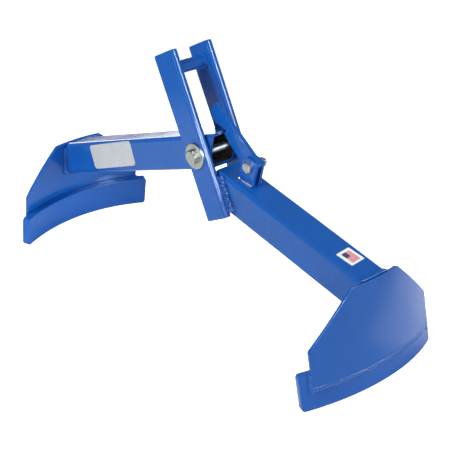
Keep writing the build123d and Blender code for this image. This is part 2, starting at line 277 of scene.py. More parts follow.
# %% [markdown]
# ## The skin of a coat
# Powder coat is dry paint that is baked until it flows. It is glossy, but never quite flat: it keeps a fine
# orange-peel skin, and it is a little thicker in one place than in another. Zinc plating has a skin too,
# finer and more mottled. One node group makes both, with sizes and depths as inputs. It gives back only
# what changes over the surface: a shade, a roughness and a bumped normal.

# %% Node group: coat skin
FLOAT, COLOUR, VECTOR = "NodeSocketFloat", "NodeSocketColor", "NodeSocketVector"


def group_with(name, inputs, outputs):
    """A shader node group with named inputs and outputs, and what it is given."""
    group = bpy.data.node_groups.new(name, "ShaderNodeTree")
    for title, kind, value in inputs:
        group.interface.new_socket(title, in_out="INPUT", socket_type=kind).default_value = value
    for title, kind in outputs:
        group.interface.new_socket(title, in_out="OUTPUT", socket_type=kind)
    return group, add(group, "NodeGroupInput").outputs


skin, given = group_with(
    "coat_skin",
    [("Colour", COLOUR, (0.5, 0.5, 0.5, 1)), ("Thick Colour", COLOUR, (0.4, 0.4, 0.4, 1)),
     ("Roughness", FLOAT, 0.3), ("Roughness Spread", FLOAT, 0.05), ("Patch Scale", FLOAT, 12.0),
     ("Peel Scale", FLOAT, 500.0), ("Peel Depth", FLOAT, 0.1), ("Wave Scale", FLOAT, 60.0),
     ("Wave Depth", FLOAT, 0.1)],
    [("Colour", COLOUR), ("Roughness", FLOAT), ("Normal", VECTOR)])
where = add(skin, "ShaderNodeTexCoord").outputs["Object"]
thick = ramp(skin, noise_at(skin, where, given["Patch Scale"], 3.0, 0.55), 0.3, 0.7, kind="LINEAR")
shade = add(skin, "ShaderNodeMix", {0: thick, 6: given["Colour"], 7: given["Thick Colour"]}, data_type="RGBA")
rough = calculate(skin, "MULTIPLY_ADD", thick, given["Roughness Spread"], given["Roughness"])
waves = add(skin, "ShaderNodeBump", {"Height": noise_at(skin, where, given["Wave Scale"], 1.0, 0.4),
                                     "Strength": given["Wave Depth"], "Distance": 0.002})
peel = add(skin, "ShaderNodeBump", {"Height": noise_at(skin, where, given["Peel Scale"], 1.0, 0.4),
                                    "Strength": given["Peel Depth"], "Distance": 0.0004,
                                    "Normal": waves.outputs["Normal"]})
add(skin, "NodeGroupOutput",
    {"Colour": shade.outputs[2], "Roughness": rough, "Normal": peel.outputs["Normal"]})
print("coat_skin", len(skin.nodes), "nodes")

# %% [markdown]
# ## Rubbed places
# Paint does not last where steel turns on steel. The mitred end of the left tube, which the latch drops
# over, is rubbed bright at its corner. A mask could be painted on an unwrapped mesh, but the rubbed place is
# small and its middle is known. So a second group makes a ragged spot of any size at any place, and puts
# it out as a mask, so that a material can mix bare steel into its paint there.

# %% Node group: rubbed spot
rub, given = group_with(
    "rubbed_spot",
    [("Place", VECTOR, (0.0, 0.0, 0.0)), ("Reach", FLOAT, 0.004), ("Ragged", FLOAT, 0.5),
     ("Grain Scale", FLOAT, 900.0)],
    [("Mask", FLOAT)])
where = add(rub, "ShaderNodeTexCoord").outputs["Object"]
away = add(rub, "ShaderNodeVectorMath", {0: where, 1: given["Place"]}, operation="DISTANCE").outputs["Value"]
grain = calculate(rub, "SUBTRACT", noise_at(rub, where, given["Grain Scale"], 4.0, 0.7), 0.5)
ragged_edge = calculate(rub, "MULTIPLY_ADD", grain, given["Ragged"],
                        calculate(rub, "DIVIDE", away, given["Reach"]))
add(rub, "NodeGroupOutput", {"Mask": ramp(rub, ragged_edge, 1.1, 0.8)})
print("rubbed_spot", len(rub.nodes), "nodes")

# %% [markdown]
# ## Painted dark reflections
# The near side of the right tube is specked with dark smudges painted into its colour as reflections of dark
# things in the glossy paint. They sit on that one face and come in drifts. A third group therefore
# multiplies three masks: fine specks, the broad zones that hold them, and the near face, told by its place
# across the clamp. The specks are drawn out a little along the tube by a Mapping node, and the group gives
# back the paint's colour with the painted reflections in it.

# %% Node group: painted dark reflections
reflection_specks_group, given = group_with(
    "painted_dark_reflection_specks",
    [("Colour", COLOUR, (0.5, 0.5, 0.5, 1)), ("Dark Reflection Colour", COLOUR, (0.022, 0.055, 0.12, 1)),
     ("Face", FLOAT, -0.0250), ("Spot Scale", FLOAT, 230.0), ("Depth", FLOAT, 0.6)],
    [("Colour", COLOUR)])
where = add(reflection_specks_group, "ShaderNodeTexCoord").outputs["Object"]
across = add(reflection_specks_group, "ShaderNodeSeparateXYZ", {0: where}).outputs["Y"]
drawn_out = add(reflection_specks_group, "ShaderNodeMapping", {"Vector": where, "Scale": (0.75, 1.0, 1.0)}).outputs[0]
specks = ramp(reflection_specks_group, noise_at(reflection_specks_group, drawn_out, given["Spot Scale"], 5.0, 0.72), 0.48, 0.62)
zones = ramp(reflection_specks_group, noise_at(reflection_specks_group, where, 22.0, 1.0, 0.5), 0.38, 0.56)
on_face = calculate(reflection_specks_group, "LESS_THAN", across, given["Face"])
amount = calculate(reflection_specks_group, "MULTIPLY", calculate(reflection_specks_group, "MULTIPLY", specks, zones), on_face)
amount = calculate(reflection_specks_group, "MULTIPLY", amount, given["Depth"])
# The dark colour mixed in here is painted reflection, not dirt.
with_dark_reflections = add(reflection_specks_group, "ShaderNodeMix", {0: amount, 6: given["Colour"], 7: given["Dark Reflection Colour"]}, data_type="RGBA")
add(reflection_specks_group, "NodeGroupOutput", {"Colour": with_dark_reflections.outputs[2]})
print("painted_dark_reflection_specks", len(reflection_specks_group.nodes), "nodes")

# %% [markdown]
# ## The finishes
# Each finish is one principled shader. What is the same all over it, such as how strongly it mirrors, is
# written on the shader itself. What varies comes from the groups: the blue paint has long soft waves and
# fine peel, the paint over the welds keeps the roughness of the bead under it, and the plating is mottled
# grey. Inside the tubes there is no paint, only mill scale, painted near black as the shade of the bore.

# %% Materials
BARE_ROUGHNESS = 0.36


def finish(name, skin_values, spots=(), bare=None, dark_reflections=False, **constants):
    """A material of one principled shader in a coat skin, with bare metal showing at some rubbed spots."""
    material = bpy.data.materials.new(name)
    tree = node_tree(material)
    coat = add(tree, "ShaderNodeGroup", skin_values, node_tree=skin).outputs
    colour, roughness = coat["Colour"], coat["Roughness"]
    inputs = {title.replace("_", " "): value for title, value in constants.items()}
    # Dark specks painted into the colour here stand for reflections in the paint.
    if dark_reflections:
        colour = add(tree, "ShaderNodeGroup", {"Colour": colour}, node_tree=reflection_specks_group).outputs["Colour"]
    if spots:
        masks = [add(tree, "ShaderNodeGroup", {"Place": place, "Reach": reach, "Ragged": ragged},
                     node_tree=rub).outputs["Mask"] for place, reach, ragged in spots]
        mask = masks[0]
        for other in masks[1:]:
            mask = calculate(tree, "MAXIMUM", mask, other)
        colour = add(tree, "ShaderNodeMix", {0: mask, 6: colour, 7: bare}, data_type="RGBA").outputs[2]
        roughness = add(tree, "ShaderNodeMix", {0: mask, 2: roughness, 3: BARE_ROUGHNESS},
                        data_type="FLOAT").outputs[0]
        inputs["Metallic"] = mask
    inputs.update({"Base Color": colour, "Roughness": roughness, "Normal": coat["Normal"]})
    shader = add(tree, "ShaderNodeBsdfPrincipled", inputs)
    add(tree, "ShaderNodeOutputMaterial", {0: shader.outputs[0]})
    return material


paint_skin = {"Colour": (0.0080, 0.103, 0.425, 1), "Thick Colour": (0.0065, 0.092, 0.39, 1),
              "Roughness": 0.12, "Roughness Spread": 0.05, "Patch Scale": 14.0, "Peel Scale": 430.0,
              "Peel Depth": 0.02, "Wave Scale": 45.0, "Wave Depth": 0.02}
blue_paint = finish("blue_powder_coat", paint_skin, IOR=1.43)
weld_paint = finish("blue_powder_coat_on_welds",
                    {**paint_skin, "Roughness": 0.10, "Peel Scale": 900.0, "Peel Depth": 0.5,
                     "Wave Scale": 500.0, "Wave Depth": 0.35}, IOR=1.55)
zinc = finish("zinc_plating",
              {"Colour": (0.50, 0.52, 0.49, 1), "Thick Colour": (0.41, 0.43, 0.41, 1), "Roughness": 0.24,
               "Roughness Spread": 0.14, "Patch Scale": 160.0, "Peel Scale": 1100.0, "Peel Depth": 0.12,
               "Wave Scale": 260.0, "Wave Depth": 0.05}, Metallic=1.0)
# Near black: the mill scale's colour with the bore's shade painted in.
mill_scale_and_bore_shade = finish("mill_scale_and_painted_shade_in_tubes",
                    {"Colour": (0.010, 0.010, 0.012, 1), "Thick Colour": (0.022, 0.019, 0.017, 1),
                     "Roughness": 0.55, "Roughness Spread": 0.15, "Patch Scale": 90.0, "Peel Scale": 800.0,
                     "Peel Depth": 0.3, "Wave Scale": 120.0, "Wave Depth": 0.1}, IOR=1.4)
print("finishes", [material.name for material in bpy.data.materials])

# %% [markdown]
# ## Where things are
# Each arm was drawn in the gripping pose, with the drum's axis upright, and then turned about the pivot bolt
# until the clamp stands open on the floor. New pieces are easiest to place in the same way: a matrix for
# each arm takes millimetres from the pivot, in the gripping pose, to their place in the picture. In each
# arm a foot point is the place on the tube's axis below the pivot, and along and up follow the tube.

# %% Places and sizes, in millimetres
PIVOT = Vector((21.849, 0.0, 239.437))
RIGHT_TURN, LEFT_TURN = radians(11.137), radians(-9.463)
RIGHT_SLOPE, LEFT_SLOPE = 25.377, 27.845
RIGHT_DROP, LEFT_RAISE = 35.2, 1.0
TUBE_HALF, TUBE_CORNER = 25.4, 6.0
TUBE_FLAT = TUBE_HALF - TUBE_CORNER
PLATE_LEAN, PLATE_OUTER, PLATE_INNER, PLATE_HALF_WIDTH = 15.2, 38.5, 25.8, 21.5
ACROSS = Vector((0, 1, 0))


def heading(angle):
    """Unit vector in the XZ plane, at an angle in degrees up from +X."""
    return Vector((cos(radians(angle)), 0, sin(radians(angle))))


def arm_place(turn):
    """Matrix from the gripping pose, in millimetres about the pivot, to the picture."""
    return Matrix.Scale(MM, 4) @ Matrix.Translation(PIVOT) @ Matrix.Rotation(-turn, 4, "Y")


right_place, left_place = arm_place(RIGHT_TURN), arm_place(LEFT_TURN)
right_along, right_up = heading(-RIGHT_SLOPE), heading(90 - RIGHT_SLOPE)
left_along, left_up = heading(180 + LEFT_SLOPE), heading(90 + LEFT_SLOPE)
right_foot, left_foot = right_up * -RIGHT_DROP, left_up * LEFT_RAISE
plate_x, plate_up = heading(PLATE_LEAN), heading(90 + PLATE_LEAN)
print("feet of the tubes' axes", [[round(part, 2) for part in foot] for foot in (right_foot, left_foot)])

# %% [markdown]
# ## Pieces cut from plate and tube
# The frame already has the true shapes of the tubes, plates, bands, ears and lever, but as loose triangles
# with knife-sharp edges. Steel that has been sawn, ground and painted has soft edges, and those edges are
# what catches the light. Each piece is therefore a merged copy of its frame node, with the flat faces
# joined again, a small bevel on every sharp edge, and normals weighted by area so that flats shade flat.

# %% Helpers for pieces
SHARP_FROM = radians(24)


def make_piece(name, body, nodes_shown, materials, edit):
    """Turn a bmesh into a finished piece that rides on a body and stands for some frame nodes."""
    mesh = bpy.data.meshes.new(name)
    edit.to_mesh(mesh)
    edit.free()
    for material in materials:
        mesh.materials.append(material)
    piece = bpy.data.objects.new(name, mesh)
    scene.collection.objects.link(piece)
    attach(piece, body)
    if nodes_shown:
        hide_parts(*nodes_shown)
    return piece


def mark_sharp(edit):
    """Smooth faces, with the edges that turn by more than a little left sharp."""
    for face in edit.faces:
        face.smooth = True
    for edge in edit.edges:
        edge.smooth = edge.is_manifold and edge.calc_face_angle(0.0) < SHARP_FROM


def soften(piece, width, segments=2):
    """Round the sharp edges of a piece by a width in millimetres, and let its broad faces set the shading."""
    if width:
        rounding = piece.modifiers.new("soft_edges", "BEVEL")
        rounding.width, rounding.segments = width * MM, segments
        rounding.limit_method, rounding.angle_limit = "ANGLE", SHARP_FROM
    flats = piece.modifiers.new("flat_faces", "WEIGHTED_NORMAL")
    flats.weight, flats.keep_sharp = 100, True


def cut(edit, place, normal):
    """Cut the whole mesh by a plane and keep both sides."""
    geom = [*edit.verts, *edit.edges, *edit.faces]
    bmesh.ops.bisect_plane(edit, geom=geom, plane_co=place, plane_no=normal)


def open_edges(edit):
    return sum(1 for edge in edit.edges if not edge.is_manifold)


# %% [markdown]
# ## The rounded edge of the lift plates
# The lift plates are cut from bar whose long edge on the right is rolled round, where the others are
# nearly square. A bevel on those edges alone would have to find them among the merged ones. It is surer to
# lay the plate flat, cut it into narrow strips where the arc will be, and move each corner of a strip from
# the square outline in to the arc.

# %% Helper for the rounded edge
EDGE_ARC, EDGE_STRIPS, STRIP_ANGLE = 5.5, 6, 8


def round_edge(edit, side):
    """Round a lift plate's right-hand edge: cut it into strips and move their corners onto an arc."""
    to_row = right_place @ Matrix((plate_x, ACROSS, plate_up)).transposed().to_4x4()
    middle = (PLATE_INNER + PLATE_OUTER) / 2 * side
    centre = Vector((PLATE_HALF_WIDTH - EDGE_ARC, (PLATE_OUTER - PLATE_INNER) / 2 - EDGE_ARC))
    bmesh.ops.transform(edit, matrix=to_row.inverted(), verts=edit.verts)
    for step in range(EDGE_STRIPS):
        reach = EDGE_ARC * tan(radians(STRIP_ANGLE * step))
        cut(edit, (centre.x + reach, 0, 0), (1, 0, 0))
        cut(edit, (0, middle + centre.y + reach, 0), (0, 1, 0))
        cut(edit, (0, middle - centre.y - reach, 0), (0, 1, 0))
    for vert in edit.verts:
        over, out = vert.co.x - centre.x, abs(vert.co.y - middle) - centre.y
        if over > 0 and out > 0:
            scale = max(over, out) / hypot(over, out)
            vert.co.x = centre.x + over * scale
            vert.co.y = middle + (centre.y + out * scale) * (1 if vert.co.y > middle else -1)
    bmesh.ops.transform(edit, matrix=to_row, verts=edit.verts)


# %% [markdown]
# ## Dressing the frame's own pieces
# One helper dresses every piece. The tubes need two materials, paint outside and mill scale inside with
# painted shade, and it would be slow to pick their inner faces by hand. A face of the bore is known by its
# direction: it looks towards the tube's axis, so the helper only has to be told where that axis runs.

# %% Helper that dresses a frame node
MERGE_DISTANCE, FLAT_WITHIN, SIDEWAYS_WITHIN = 0.002 * MM, radians(0.6), 0.3


def dress(node, width, paint=blue_paint, segments=2, bore=None, rounded=0):
    """A merged, soft-edged copy of a frame node in paint; a tube's bore, told by its axis, gets painted
    shade.
    """
    edit = bmesh.new()
    edit.from_mesh(nodes[node].data)
    bmesh.ops.remove_doubles(edit, verts=edit.verts, dist=MERGE_DISTANCE)
    bmesh.ops.dissolve_limit(edit, angle_limit=FLAT_WITHIN, verts=edit.verts, edges=edit.edges)
    if rounded:
        round_edge(edit, rounded)
    mark_sharp(edit)
    if bore:
        origin, along = bore
        for face in edit.faces:
            away = face.calc_center_median() - origin
            away -= along * away.dot(along)
            inwards = face.normal.dot(away) < 0 and abs(face.normal.dot(along)) < SIDEWAYS_WITHIN
            face.material_index = 1 if inwards else 0
    print(node, len(nodes[node].data.polygons), "triangles ->", len(edit.faces), "faces")
    piece = make_piece("painted_" + node, body_of(nodes[node])[0], [node],
                       [paint, mill_scale_and_bore_shade] if bore else [paint], edit)
    soften(piece, width, segments)


# %% [markdown]
# ## Tubes, plates, shoes, ears and lever
# The widths of the soft edges follow from how the pieces are made: sawn bar and tube keep tight edges, the
# lifting bar is round and has none, and the rolled shoe plates were ground by hand, the right one most. The
# left tube wears its rubbed corner on the mitre, and the right tube its painted dark reflection specks.

# %% Tubes
LEFT_OVERHANG = 30.3
mitre_corner = left_place @ (left_up * (LEFT_RAISE + TUBE_HALF) - left_along * LEFT_OVERHANG)
rubbed_paint = finish("blue_powder_coat_rubbed", paint_skin,
                      spots=[(mitre_corner + Vector((0.0, -0.010, 0.0)), 0.0046, 0.7),
                             (mitre_corner + Vector((-0.001, 0.006, 0.0)), 0.0025, 0.9)],
                      bare=(0.62, 0.62, 0.60, 1), IOR=1.43)
# Paint with dark reflection specks painted on the right tube's near face.
reflection_specked_paint = finish("blue_powder_coat_painted_reflections", paint_skin, dark_reflections=True, IOR=1.43)
dress("right_arm_tube", 0.5, reflection_specked_paint,
      bore=(right_place @ right_foot, (right_place.to_3x3() @ right_along).normalized()))
dress("left_arm_tube", 0.5, rubbed_paint,
      bore=(left_place @ left_foot, (left_place.to_3x3() @ left_along).normalized()))

# %% Plates, shoes, ears and lever
dress("lift_plate_front", 0.4, segments=3, rounded=-1)
dress("lift_plate_rear", 0.4, segments=3, rounded=1)
dress("lifting_bar", 0.0)
dress("right_shoe_plate", 1.9, segments=4)
dress("left_shoe_plate", 1.0)
dress("right_grip_band", 0.4)
dress("left_grip_band", 0.4)
dress("latch_ear_front", 0.5)
dress("latch_ear_rear", 0.5)
dress("latch_lever", 0.6)

# %% [markdown]
# ## Weld beads
# A hand-laid bead is a row of overlapping puddles, each frozen a little further along than the last, so it
# has a scaly crown and an edge that wanders. Sculpting would do for one bead, but the clamp has more than a
# metre of them. So one helper lays them all: it extrudes the cross-section of a bead along its seam, half a
# millimetre at a time, and swells, leans and shifts each new section by the puddle's own shape.

# %% Helper for beads
SECTION = [(-0.07, -0.07), (1.0, -0.07), (0.94, 0.18), (0.82, 0.42), (0.66, 0.66), (0.42, 0.82), (0.18, 0.94),
           (-0.07, 1.0)]
STEP = 0.55
CROWN_GAIN, RIPPLE_HEIGHT, RIPPLE_MEAN, RIPPLE_LEAN, EDGE_WANDER = 2.2, 0.24, 0.15, 0.28, 0.08
LUMPS = ((0.12, 0.45), (0.10, 1.1))


def lay_bead(edit, seam, legs, puddle, rough):
    """Lay a bead along a seam, a list of root point, two leg directions and the way along, in millimetres."""
    corner = edit.verts.layers.int.get("corner") or edit.verts.layers.int.new("corner")
    gone = 0.0

    def place(vert, root, first, second, along):
        a, b = SECTION[vert[corner]]
        crown = min(max(a, 0), 1) * min(max(b, 0), 1) * CROWN_GAIN
        phase = gone / puddle + 0.3 * noise.noise(root * 0.31)
        ripple = RIPPLE_HEIGHT * abs(sin(pi * phase)) - RIPPLE_MEAN
        lumps = sum(tall * noise.noise(root * fine) for tall, fine in LUMPS)
        swell = 1.0 + rough * (ripple * (0.35 + crown) + lumps)
        wander = 1.0 + rough * EDGE_WANDER * noise.noise(root * 0.28 + Vector((9, 0, 0)))
        vert.co = root + first * (a * legs[0] * swell * wander) + second * (b * legs[1] * swell / wander)
        vert.co -= along * (rough * RIPPLE_LEAN * puddle * crown)

    ring = []
    for number in range(len(SECTION)):
        vert = edit.verts.new((0, 0, 0))
        vert[corner] = number
        ring.append(vert)
    end = first_end = edit.faces.new(ring)
    for vert in end.verts:
        place(vert, *seam[0])
    for before, here in zip(seam, seam[1:]):
        gone += (here[0] - before[0]).length
        made = bmesh.ops.extrude_face_region(edit, geom=[end])["geom"]
        old = end
        end = next(part for part in made
                   if isinstance(part, bmesh.types.BMFace) and len(part.verts) == len(ring))
        if old is not first_end and old.is_valid:
            edit.faces.remove(old)
        for vert in end.verts:
            place(vert, *here)


def straight_seam(root, first, second, length):
    """Sections of a straight seam."""
    along = first.cross(second).normalized()
    count = max(2, round(length / STEP))
    return [(root + along * (length * step / count), first, second, along) for step in range(count + 1)]


def beads(name, nodes_shown, body, place, laid, rough=1.0):
    """Beads as one piece; each is a seam, the lengths of its two legs and the length of a puddle."""
    edit = bmesh.new()
    for seam, legs, puddle in laid:
        lay_bead(edit, seam, legs, puddle, rough)
    bmesh.ops.transform(edit, matrix=place, verts=edit.verts)
    bmesh.ops.recalc_face_normals(edit, faces=edit.faces)
    for face in edit.faces:
        face.smooth = True
    print(name, len(laid), "beads,", len(edit.faces), "faces, open edges", open_edges(edit))
    make_piece(name, body, nodes_shown, [weld_paint], edit)


# %% [markdown]
# ## Beads of the lift plates and of the ears
# The right tube is welded between the lift plates along each plate's right-hand edge, where the bead shows
# best, and down the end of the tube. A shorter bead runs along the foot of each ear. All of them are
# straight, so each seam needs only its root, the two directions of its legs and its length.

# %% Beads of the lift plates
PLATE_BEAD, TUBE_END_BEAD, EAR_BEAD = ((10.0, 7.0), 3.1), ((4.0, 4.0), 2.2), ((4.8, 4.4), 2.4)
PLATE_ABOVE, PLATE_LENGTH, RIGHT_TUBE_START = 151.0, 247.0, 31.0

plate_edge = plate_x * PLATE_HALF_WIDTH
plate_laid = []
for side in (-1, 1):
    wall = ACROSS * side
    low, high = [(n - plate_edge.dot(right_up) - RIGHT_DROP) / plate_up.dot(right_up)
                 for n in (-TUBE_FLAT, TUBE_FLAT + 1.0)]
    low = max(low, PLATE_ABOVE - PLATE_LENGTH)
    root = plate_edge - plate_x * 2.0 + plate_up * (low if side > 0 else high) + wall * TUBE_HALF
    plate_laid.append((straight_seam(root, plate_x, wall, high - low), *PLATE_BEAD))
    corner = right_foot + right_along * RIGHT_TUBE_START + wall * PLATE_INNER
    root = corner + right_up * (TUBE_FLAT if side < 0 else -TUBE_FLAT)
    plate_laid.append((straight_seam(root, -right_along, -wall, 2 * TUBE_FLAT), *TUBE_END_BEAD))
beads("lift_plate_beads", ["lift_plate_welds"], "right_arm", right_place, plate_laid, rough=1.5)

# %% Beads of the ears
EAR_START, EAR_LENGTH, EAR_OUTER = 60.4, 28.6, 8.335

ear_laid = []
for side in (-1, 1):
    start = EAR_START if side > 0 else EAR_START + EAR_LENGTH
    root = right_foot + right_up * TUBE_HALF + ACROSS * (side * EAR_OUTER) + right_along * start
    ear_laid.append((straight_seam(root, ACROSS * side, right_up, EAR_LENGTH), *EAR_BEAD))
beads("latch_ear_beads", ["latch_ear_welds"], "right_arm", right_place, ear_laid, rough=1.5)

# %% [markdown]
# ## A speck of spatter
# Welding throws off drops that freeze where they land, and one of them sits on the near upper corner of the
# right tube under the paint. A drop is nearly a ball, so a small icosphere half sunk in the corner will do.

# %% Speck of spatter on the right tube
SPECK_RADIUS, SPECK_ALONG, SPECK_SINK = 1.3, 123.3, 0.3

speck = bmesh.new()
bmesh.ops.create_icosphere(speck, subdivisions=2, radius=SPECK_RADIUS)
out = TUBE_FLAT + TUBE_CORNER * cos(radians(45)) - SPECK_SINK
speck_place = right_foot + right_along * SPECK_ALONG + right_up * out - ACROSS * out
bmesh.ops.transform(speck, matrix=right_place @ Matrix.Translation(speck_place), verts=speck.verts)
for face in speck.faces:
    face.smooth = True
print("spatter speck", len(speck.faces), "faces, open edges", open_edges(speck))
make_piece("spatter_speck", "right_arm", [], [weld_paint], speck)

# %% [markdown]
# ## Rings of the lifting bar
# The lifting bar is welded to the inner face of each plate by a small, even ring. The seam is a circle
# about the bar's axis: one leg of the bead points away from the axis, the other along the bar.

# %% Rings of the lifting bar
BAR_RADIUS, BAR_ABOVE, RING_BEAD, RING_STEPS = 9.525, 125.6, ((3.2, 3.2), 2.0), 120

ring_laid = []
for side in (-1, 1):
    seam = []
    for step in range(RING_STEPS + 1):
        angle = 2 * pi * step / RING_STEPS
        out = plate_x * cos(angle) + plate_up * sin(angle)
        way = plate_up * cos(angle) - plate_x * sin(angle)
        root = plate_up * BAR_ABOVE + out * BAR_RADIUS + ACROSS * (side * PLATE_INNER)
        seam.append((root, out, ACROSS * -side, way))
    ring_laid.append((seam, *RING_BEAD))
beads("lifting_bar_beads", ["lifting_bar_welds"], "right_arm", right_place, ring_laid, rough=0.12)

# %% [markdown]
# ## Beads round the tubes at the shoes
# Each tube is sawn to the curve of its shoe and welded down both sides and along its underside. The seam
# is where the outline of the tube meets a round drum face, so each of its points is found by following a
# line along the tube until it reaches the shoe's radius. A projection by modifier would do it too, but the
# bead also needs the direction of the tube's wall at each point, which the outline gives at once.

# %% Helpers for seams on a shoe
DRUM_AXIS = Vector((-25.65, 0, -291.8))
BAND_OUTER, SHOE_OUTER = 305.7, 310.46
SHOE_BEAD, TOP_BEAD, TOP_BEAD_HALF = ((5.2, 5.2), 2.2), ((5.0, 2.8), 3.2), 23.5


def on_shoe(foot, along, y, n, up, radius):
    """Point where a line along a tube, y across and n above its axis, meets a round face of the shoe."""
    start = foot + ACROSS * y + up * n - DRUM_AXIS
    b = start.x * along.x
    reach = (-b + (b * b - along.x ** 2 * (start.x ** 2 + y * y - radius ** 2)) ** 0.5) / along.x ** 2
    return start + along * reach


def tube_outline():
    """The tube's outline down one side, along its underside and up the other, with its outward directions."""
    count = round(2 * TUBE_FLAT / STEP)
    rise = [2 * TUBE_FLAT * step / count - TUBE_FLAT for step in range(count + 1)]
    arc = [radians(90 * step / 12) for step in range(13)]

    def rounded(side, angle):
        return (side * (TUBE_FLAT + TUBE_CORNER * cos(angle)), -TUBE_FLAT - TUBE_CORNER * sin(angle),
                side * cos(angle), -sin(angle))

    return ([(-TUBE_HALF, n, -1, 0) for n in reversed(rise)] + [rounded(-1, angle) for angle in arc[1:]] +
            [(y, -TUBE_HALF, 0, -1) for y in rise[1:]] + [rounded(1, angle) for angle in reversed(arc[:-1])] +
            [(TUBE_HALF, n, 1, 0) for n in rise[1:]])


def tube_seam(foot, along, up):
    """Seam round three sides of a tube, on the shoe's inner face."""
    seam = []
    for y, n, out_y, out_n in tube_outline():
        root = on_shoe(foot, along, y, n, up, BAND_OUTER)
        radial = Vector((root.x, root.y, 0)).normalized()
        out = ACROSS * out_y + up * out_n
        out = (out - radial * out.dot(radial)).normalized()
        seam.append([root + DRUM_AXIS, out, -along, None])
    for number, section in enumerate(seam):
        after, before = seam[min(number + 1, len(seam) - 1)], seam[max(number - 1, 0)]
        section[3] = (after[0] - before[0]).normalized()
    return [tuple(section) for section in seam]


def top_seam(foot, along, up, half):
    """Seam across the top of a tube, where it meets the upper edge of the shoe plate."""
    count = round(2 * half / STEP)
    return [(on_shoe(foot, along, half * (2 * step / count - 1), TUBE_HALF, up, BAND_OUTER + 1.6) + DRUM_AXIS,
             -along, up, ACROSS) for step in range(count + 1)]


# %% Beads at the shoes
beads("right_shoe_beads", ["right_arm_shoe_weld"], "right_arm", right_place,
      [(tube_seam(right_foot, right_along, right_up), *SHOE_BEAD)])
beads("right_shoe_top_bead", [], "right_arm", right_place,
      [(top_seam(right_foot, right_along, right_up, TOP_BEAD_HALF), *TOP_BEAD)], rough=1.9)
beads("left_shoe_beads", ["left_arm_shoe_weld"], "left_arm", left_place,
      [(tube_seam(left_foot, left_along, left_up), *SHOE_BEAD)])

# %% [markdown]
# ## Beads where the shoes lap the bands
# Each shoe plate laps the upper part of its grip band, and a flat bead runs along the plate's foot and up
# its two lower ends. These seams lie on cylinders about the drum's axis, so they are written as angle,
# radius and height for the right-hand shoe, and the left-hand ones are the same turned by half a turn.

# %% Beads at the bands
SHOE_HALF, SHOE_FOOT, BAND_HEIGHT = radians(21.7), 30.0, 50.8
FOOT_BEAD, END_BEAD = ((9.5, 4.85), 2.6), ((5.5, 4.7), 2.6)
FOOT_SEAM_RISE, END_SEAM_START, END_SEAM_INSET = 2.0, SHOE_FOOT - 6, 1.0


def about_drum(angle, radius, height):
    return DRUM_AXIS + Vector((radius * cos(angle), radius * sin(angle), height))


def lap_seams():
    """Seams round the foot and up the two lower ends of the right-hand shoe plate."""
    count = round(2 * SHOE_HALF * SHOE_OUTER / STEP)
    foot = []
    for step in range(count + 1):
        angle = SHOE_HALF - 2 * SHOE_HALF * step / count
        foot.append((about_drum(angle, BAND_OUTER, SHOE_FOOT + FOOT_SEAM_RISE), Vector((0, 0, -1)),
                     Vector((cos(angle), sin(angle), 0)), Vector((sin(angle), -cos(angle), 0))))
    found = [(foot, *FOOT_BEAD)]
    lap = BAND_HEIGHT - SHOE_FOOT
    count = round((lap + 4) / STEP)
    for side in (-1, 1):
        angle = side * SHOE_HALF
        radial = Vector((cos(angle), sin(angle), 0))
        round_drum = Vector((-sin(angle), cos(angle), 0)) * side
        inset = round_drum * END_SEAM_INSET
        end = [(about_drum(angle, BAND_OUTER, END_SEAM_START + (lap + 5.6) * step / count) - inset,
                round_drum, radial, Vector((0, 0, 1))) for step in range(count + 1)]
        found.append((end, *END_BEAD))
    return found


def to_left(laid):
    """The same beads on the other side of the drum's axis."""
    half_turn = Matrix.Rotation(pi, 3, "Z")
    return [([(half_turn @ (root - DRUM_AXIS) + DRUM_AXIS, half_turn @ first, half_turn @ second,
               half_turn @ along) for root, first, second, along in seam], legs, puddle)
            for seam, legs, puddle in laid]


beads("right_band_beads", ["right_grip_band_welds"], "right_arm", right_place, lap_seams(), rough=0.45)
beads("left_band_beads", ["left_grip_band_welds"], "left_arm", left_place, to_left(lap_seams()), rough=0.45)

# %% [markdown]
# ## Bolts, nuts and washer
# A hexagon head is turned on a lathe before it is anything else, which is why its corners are cut off by a
# cone and its top is a round flat. All these parts are stacks of rings about one axis: round rings for
# shanks, collars and bores, six-sided ones for heads. One helper starts from a circle and extrudes it from
# ring to ring, and a ring's radius and height may change with the angle, which is all that a hexagon, a
# cone cut or a thread needs.

# %% Helper for turned parts
SEGMENTS = 72


def turned_part(rings, closed_tube=False):
    """A bmesh of rings about Z; each ring is a radius and a height, numbers or functions of the angle."""
    edit = bmesh.new()
    bmesh.ops.create_circle(edit, cap_ends=False, radius=1.0, segments=SEGMENTS)
    edges, verts = list(edit.edges), list(edit.verts)

    def place(verts, radius, height):
        for vert in verts:
            angle = atan2(vert.co.y, vert.co.x) % (2 * pi)
            r = radius(angle) if callable(radius) else radius
            vert.co = (r * cos(angle), r * sin(angle), height(angle) if callable(height) else height)

    place(verts, *rings[0])
    first = list(edges)
    for ring in rings[1:]:
        made = bmesh.ops.extrude_edge_only(edit, edges=edges)["geom"]
        edges = [part for part in made if isinstance(part, bmesh.types.BMEdge)
                 and all(vert in made for vert in part.verts)]
        verts = [part for part in made if isinstance(part, bmesh.types.BMVert)]
        place(verts, *ring)
    if closed_tube:
        bmesh.ops.remove_doubles(edit, verts=edit.verts, dist=0.001)
    else:
        bmesh.ops.contextual_create(edit, geom=first)
        bmesh.ops.contextual_create(edit, geom=edges)
    return edit


# %% [markdown]
# ## The shapes of a bolt and a nut
# A head's corners fall away by a cone of thirty degrees, and a lock nut is such a hexagon cut by a cone at
# both ends, with a round collar on top that holds its locking ring. A thread is a stack of rings whose
# radius rises and falls with height and angle together, so that the crest climbs round the bolt. A bump
# texture would look the same from afar, but the thread stands out at the bolt's end.

